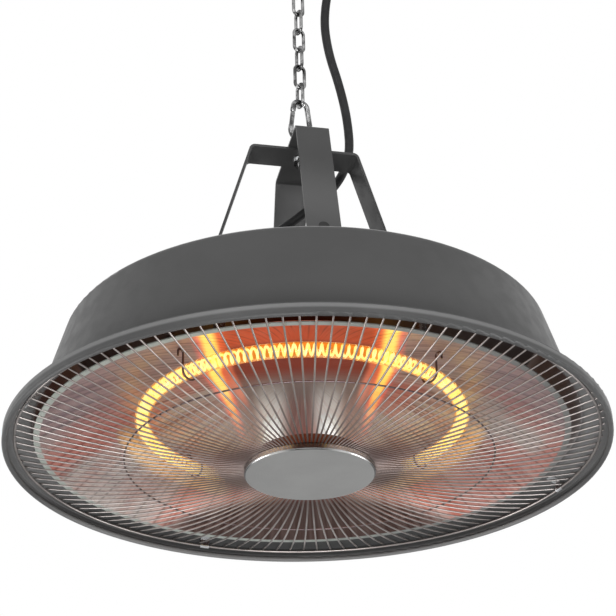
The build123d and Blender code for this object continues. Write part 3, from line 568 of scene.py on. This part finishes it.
        # Painted glints before the hub, painted shade between them and painted shadow lines of the spokes
        base = self.mix(self.fan_glint, base, srgb(236, 240, 240))
        base = self.mix(self.middle, base, srgb(110, 72, 66))
        return self.mix(self.times(self.shadow, shadow_share), base, srgb(58, 40, 38))

    def lamp_light(self):
        """Painted glow of the lamp: a deep orange patch before the lamp, with a browner stretch behind it."""
        patch_depths = (-48.0, -72.0)
        patch_share = 0.9
        warm_depths = (24.0, -20.0)
        patch = self.times(self.between, self.ramp(self.y, *patch_depths))
        patch = self.times(patch, self.ramp(self.clouds, *even_span, start=1.0, end=0.6), patch_share)
        light = self.mix(patch, black, srgb(184, 68, 26))
        warm = self.times(self.between, self.ramp(self.y, *warm_depths))
        warm = self.times(warm, self.ramp(self.y, *reversed(patch_depths), start=0.0, end=0.4))
        return self.mix(warm, light, srgb(132, 42, 26))

    def band_light(self, light):
        """The lamp's two painted reflections: an orange halo, a yellow core and a fainter band beside them.
        """
        halo_share = 0.85
        halo_depths = (108.0, 20.0)
        core_depths = (86.0, -20.0)
        width_depths = (90.0, -60.0)
        halo_span = (1.0, 0.25)
        core_span = (0.5, 0.14)
        beside_share = 0.6
        beside_aside = -10.0
        beside_span = (5.0, 1.0)
        beside_depths = (60.0, 20.0)
        beside_start = (-64.0, -40.0)
        width = self.ramp(self.y, *width_depths, start=5.0, end=14.0)
        nearness = self.math("DIVIDE", self.size(self.off_band), width)
        halo = self.times(self.ramp(nearness, *halo_span), self.ramp(self.y, *halo_depths), halo_share)
        light = self.mix(halo, light, srgb(240, 96, 24))
        core = self.times(self.ramp(nearness, *core_span), self.ramp(self.y, *core_depths))
        light = self.mix(core, light, srgb(255, 220, 84))
        beside = self.ramp(self.apart(self.off_band, beside_aside), *beside_span)
        beside = self.times(beside, self.ramp(self.y, *beside_depths), self.ramp(self.y, *beside_start))
        beside = self.times(beside, beside_share)
        return self.mix(beside, light, srgb(222, 112, 76))

    def ring_light(self, light):
        """The lamp's second painted reflection: a golden ring set further back, in a painted red glow."""
        image_back = 15.0
        image_radius = 130.0
        image_span = (10.0, 2.0)
        image_depths = (10.0, 62.0)
        image_aside = (48.0, 74.0)
        blush_radius = 122.0
        blush_span = (26.0, 8.0)
        blush_depths = (50.0, 110.0)
        blush_end = (160.0, 135.0)
        radius = self.distance(self.x, self.math("SUBTRACT", self.y, image_back))
        blush = self.ramp(self.apart(radius, blush_radius), *blush_span)
        blush = self.times(blush, self.ramp(self.y, *blush_depths, start=0.0, end=0.3))
        light = self.mix(self.times(blush, self.ramp(self.y, *blush_end)), light, srgb(170, 70, 48))
        image = self.ramp(self.apart(radius, image_radius), *image_span)
        image = self.times(image, self.ramp(self.y, *image_depths, start=0.0, end=0.8))
        return self.mix(self.times(image, self.ramp(self.aside, *image_aside)), light, srgb(226, 168, 84))

    def fan_light(self, light):
        """Painted white gleam at the roots of the glint fans."""
        gleam_depths = (50.0, 88.0)
        gleam_span = (10.0, 3.0)
        ray_span = (0.3, 0.6)
        gleam = self.times(self.fan_glint, self.ramp(self.y, *gleam_depths))
        gleam = self.times(gleam, self.ramp(self.off_fan, *gleam_span))
        gleam = self.times(gleam, self.ramp(self.rays, *ray_span, start=0.4, end=0.95))
        return self.mix(gleam, light, srgb(232, 236, 238))

    def soft_light(self, light):
        """Mauve light over the rest of the dish, redder in places and nearly dark beyond the hub."""
        open_depths = (60.0, 20.0)
        red_share = 0.8
        shadow_share = 0.6
        mauve = self.mix(self.ramp(self.rays, *soft_span), srgb(98, 74, 70), srgb(58, 38, 36))
        mauve = self.mix(self.times(self.red_glow_cloud, red_share), mauve, srgb(112, 52, 42))
        mauve = self.mix(self.times(self.redder, red_share), mauve, srgb(176, 74, 46))
        mauve = self.mix(self.beyond, mauve, srgb(30, 20, 18))
        kept = self.times(self.between, self.ramp(self.y, *open_depths))
        lifted = self.math("SUBTRACT", 1.0, kept, clamp=True)
        light = self.mix(lifted, light, self.mix(1.0, light, mauve, kind="LIGHTEN"))
        return self.mix(self.times(self.shadow, shadow_share), light, black)


def reflector_metal():
    """Spun dish with painted light: mauve painted glow, the lamp's painted reflections as two bands, glints
    and a second ring.
    """
    flange_radii = (182.8, 183.6)
    rim_light_aside = (150.0, -60.0)
    dish = Dish("reflector_metal")
    flange = dish.ramp(dish.radius, *flange_radii)
    # Painted light on the flange, in its colour and its glow, stronger towards the left
    pale = dish.ramp(dish.x, *rim_light_aside)
    rim_lit_colour = dish.mix(pale, srgb(150, 152, 150), srgb(198, 204, 198))
    dish.put(Base_Color=dish.mix(flange, dish.lit_dish_colour(), rim_lit_colour), Metallic=1.0)
    dish.put(Roughness=dish.ramp(dish.rays, *even_span, start=0.42, end=0.52))
    # Painted glow, reflections and shade, given off by the dish itself
    light = dish.ring_light(dish.band_light(dish.lamp_light()))
    light = dish.soft_light(dish.fan_light(light))
    rim_light = dish.mix(pale, srgb(34, 34, 34), srgb(58, 60, 56))
    dish.put(Emission_Color=dish.mix(flange, light, rim_light), Emission_Strength=1.0)
    dish.bump(dish.rays, strength=0.08, distance=0.0003)
    return dish.material


housing_coat = coated("housing_coat", srgb(69, 69, 69), painted_light_and_shade=inside_painted_light)
strap_coat = coated("strap_coat", srgb(67, 67, 67), painted_light_and_shade=strap_painted_light)
plate_coat = coated("plate_coat", srgb(70, 70, 70))
zinc = metal("zinc_plate", (0.74, 0.75, 0.76, 1.0), rough=0.26)
bright_zinc = metal("bright_zinc", (0.36, 0.36, 0.36, 1.0), rough=0.2, grain=500.0, dull=0.22, patch=170.0)
grille_wire = metal("grille_wire", (0.42, 0.385, 0.37, 1.0), rough=0.36, grain=900.0, toned=browner_near_hub)
dark_wire = metal("lamp_wire", (0.12, 0.085, 0.075, 1.0), rough=0.42, grain=900.0)
ring_wire = metal("ring_wire", (0.2, 0.16, 0.165, 1.0), rough=0.4, grain=900.0)
bronzed = metal("bronzed_steel", (0.2, 0.11, 0.09, 1.0), rough=0.45)
brass = metal("brass", (0.72, 0.55, 0.27, 1.0), rough=0.24)
black_rubber = moulded("black_rubber", (0.007, 0.007, 0.0075, 1.0))
black_plastic = moulded("black_plastic", (0.015, 0.015, 0.015, 1.0), rough=0.40)
brown_core = moulded("brown_core", srgb(96, 56, 30), rough=0.45)
blue_core = moulded("blue_core", srgb(40, 80, 150), rough=0.45)
green_core = moulded("green_core", srgb(110, 150, 40), rough=0.45)
white_ceramic = ceramic("white_ceramic", srgb(222, 217, 205))
glass_sleeve = woven("glass_sleeve", srgb(205, 198, 180), srgb(232, 228, 216))
tie_weave = woven("tie_weave", (0.008, 0.008, 0.008, 1.0), (0.035, 0.035, 0.036, 1.0))
quartz = lamp_glass()
hot_wire = lamp_glow()

node_materials = {
    "housing": housing_coat, "front_strap": strap_coat, "side_strap": strap_coat, "ceiling_plate": plate_coat,
    "reflector": reflector_metal(), "grille_hub": hub_metal(), "grille_hub_clamp": bronzed,
    "grille_spokes": grille_wire, "grille_rim_ring": grille_wire, "grille_support_ring": ring_wire,
    "lamp_tube": quartz, "lamp_winding": hot_wire, "lamp_caps": white_ceramic, "lamp_supports": dark_wire,
    "lamp_leads": glass_sleeve, "terminal_block": white_ceramic, "core_live": brown_core,
    "core_neutral": blue_core, "core_earth": green_core, "earth_tag": brass, "plug_pins": brass,
    "plug_body": black_rubber, "mains_cord": black_rubber, "mains_cord_coil": black_rubber,
    "coil_tie": tie_weave,
}
for name in ("cable_gland", "gland_nut", "strap_plugs"):
    node_materials[name] = black_plastic
for name in ("reflector_spacers", "spacer_screws", "grille_hub_rivet", "grille_clips", "strap_screws",
             "strap_nuts", "eye_washers"):
    node_materials[name] = zinc
for name in ("eye_bolt", "eye_nut", "ceiling_hook", "cord_peg", "snap_hook", "snap_gate", "snap_gate_pin"):
    node_materials[name] = bright_zinc
for name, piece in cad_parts.items():
    chain_link = name.startswith("chain_link_")
    piece.data.materials.clear()
    piece.data.materials.append(bright_zinc if chain_link else node_materials[name])


# Pieces that stand for plainer solids
def glowing_winding():
    """One open spiral of hot wire all the way round the lamp, thick with glare."""
    turns = 150
    points_per_turn = 10
    start_angle = 99.0
    arc = 342.0
    spiral_radius = 3.6
    wire_width = 0.0018
    steps = turns * points_per_turn
    points = []
    for step in range(steps + 1):
        share = step / steps
        angle = math.radians(start_angle + arc * share)
        phase = 2 * math.pi * turns * share
        radius = lamp_radius + spiral_radius * math.cos(phase)
        height = lamp_height + spiral_radius * math.sin(phase)
        points.append((radius * math.cos(angle) + reflector_shift, radius * math.sin(angle), height))
    return spline_curve("hot_winding", metres(points), wire_width, bevel_steps=2, curve_steps=3)


def band_outline(phase, lift):
    """Rounded oblong round the coil's foot: depth and height, before its width is added."""
    half_depth = 0.0082
    half_height = 0.0129
    corner_power = 0.35
    cosine = math.cos(phase)
    sine = math.sin(phase)
    y = math.copysign(abs(cosine) ** corner_power, cosine) * (half_depth + lift)
    z = math.copysign(abs(sine) ** corner_power, sine) * (half_height + lift)
    return y, z


def tie_band():
    """Woven band round the bottom of the coil, with its free end lying over itself."""
    middle = Vector((0.0764, 0.012, -0.0977))
    half_width = 0.0058
    sheet = 0.0006
    thickness = 0.0008
    overlap_lift_share = 1.1
    edge_share = 0.96
    steps = 80
    overlap_steps = 9
    section = ((-1, 0), (-edge_share, 1), (edge_share, 1), (1, 0))
    mesh = bmesh.new()
    rows = []
    for step in range(steps + overlap_steps):
        lift = sheet * overlap_lift_share * min(step / steps, 1.0)
        row = []
        for side, out in section:
            y, z = band_outline(2 * math.pi * step / steps, lift + sheet * out)
            row.append(mesh.verts.new(middle + Vector((half_width * side, y, z))))
        rows.append(row)
    for first, second in zip(rows, rows[1:]):
        for column in range(len(section) - 1):
            mesh.faces.new((first[column], second[column], second[column + 1], first[column + 1]))
    data = bpy.data.meshes.new("tie_band")
    mesh.to_mesh(data)
    mesh.free()
    for face in data.polygons:
        face.use_smooth = True
    piece = bpy.data.objects.new("tie_band", data)
    bpy.context.collection.objects.link(piece)
    thick = piece.modifiers.new("thick", "SOLIDIFY")
    thick.thickness = thickness
    thick.offset = 0.0
    return piece


winding = glowing_winding()
winding.data.materials.append(hot_wire)
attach(winding, "heater")
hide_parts("lamp_winding")

cord.data.materials.append(black_rubber)
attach(cord, "heater")
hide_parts("mains_cord")
spare.data.materials.append(black_rubber)
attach(spare, "ceiling")
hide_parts("mains_cord_coil")
band = tie_band()
band.data.materials.append(tie_weave)
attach(band, "ceiling")
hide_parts("coil_tie")


# Floor far below, soft lamps and a white surround
def floor_material():
    """Matt floor, a little uneven in tone."""
    nodes = Nodes("pale_floor")
    tone = nodes.ramp(nodes.noise(scale=3.0, detail=3.0), *even_span)
    nodes.put(Base_Color=nodes.mix(tone, (0.86, 0.86, 0.86, 1.0), (0.82, 0.82, 0.82, 1.0)), Roughness=0.9)
    return nodes.material


def flat_floor():
    """Square floor far below the heater."""
    reach = 12.0
    height = -1.9
    flat_corners = ((-reach, -reach), (reach, -reach), (reach, reach), (-reach, reach))
    corners = [(x, y, height) for x, y in flat_corners]
    data = bpy.data.meshes.new("floor")
    data.from_pydata(corners, [], [(0, 1, 2, 3)])
    data.materials.append(floor_material())
    piece = bpy.data.objects.new("floor", data)
    bpy.context.collection.objects.link(piece)
    return piece


floor = flat_floor()

lamp_aim = Vector((0.0, 0.0, -0.45))


def soft_lamp(name, place, width, height, watts):
    """Oblong lamp turned towards the heater's head."""
    data = bpy.data.lights.new(name, "AREA")
    data.shape = "RECTANGLE"
    data.size = width
    data.size_y = height
    data.energy = watts
    piece = bpy.data.objects.new(name, data)
    bpy.context.collection.objects.link(piece)
    piece.location = place
    piece.rotation_euler = (lamp_aim - Vector(place)).to_track_quat("-Z", "Y").to_euler()


soft_lamp("left_lamp", place=(-0.9, -1.9, 0.2), width=0.4, height=1.4, watts=7.5)
soft_lamp("right_lamp", place=(1.0, -1.9, 0.2), width=0.4, height=1.4, watts=6.5)
soft_lamp("low_lamp", place=(0.0, -1.5, -1.8), width=1.4, height=0.8, watts=42.0)
soft_lamp("low_left_lamp", place=(-1.5, 0.4, -1.7), width=1.0, height=1.0, watts=20.0)
soft_lamp("low_right_lamp", place=(1.5, 0.4, -1.7), width=1.0, height=1.0, watts=20.0)


def white_surround():
    """White world, seen in full where it shows, mirrors or shines through, and dimmer as a light."""
    dim_level = 0.45
    full_level = 1.0
    world = bpy.data.worlds.new("surround")
    world.use_nodes = True
    tree = world.node_tree
    background = tree.nodes["Background"]
    background.inputs["Color"].default_value = (1.0, 1.0, 1.0, 1.0)
    path = tree.nodes.new("ShaderNodeLightPath")
    seen = path.outputs["Is Camera Ray"]
    for ray in ("Is Glossy Ray", "Is Transmission Ray"):
        either = tree.nodes.new("ShaderNodeMath")
        either.operation = "MAXIMUM"
        tree.links.new(seen, either.inputs[0])
        tree.links.new(path.outputs[ray], either.inputs[1])
        seen = either.outputs[0]
    level = tree.nodes.new("ShaderNodeMapRange")
    level.inputs["To Min"].default_value = dim_level
    level.inputs["To Max"].default_value = full_level
    tree.links.new(seen, level.inputs["Value"])
    tree.links.new(level.outputs[0], background.inputs["Strength"])
    return world


bpy.context.scene.world = white_surround()
bpy.context.scene.view_settings.view_transform = "Standard"
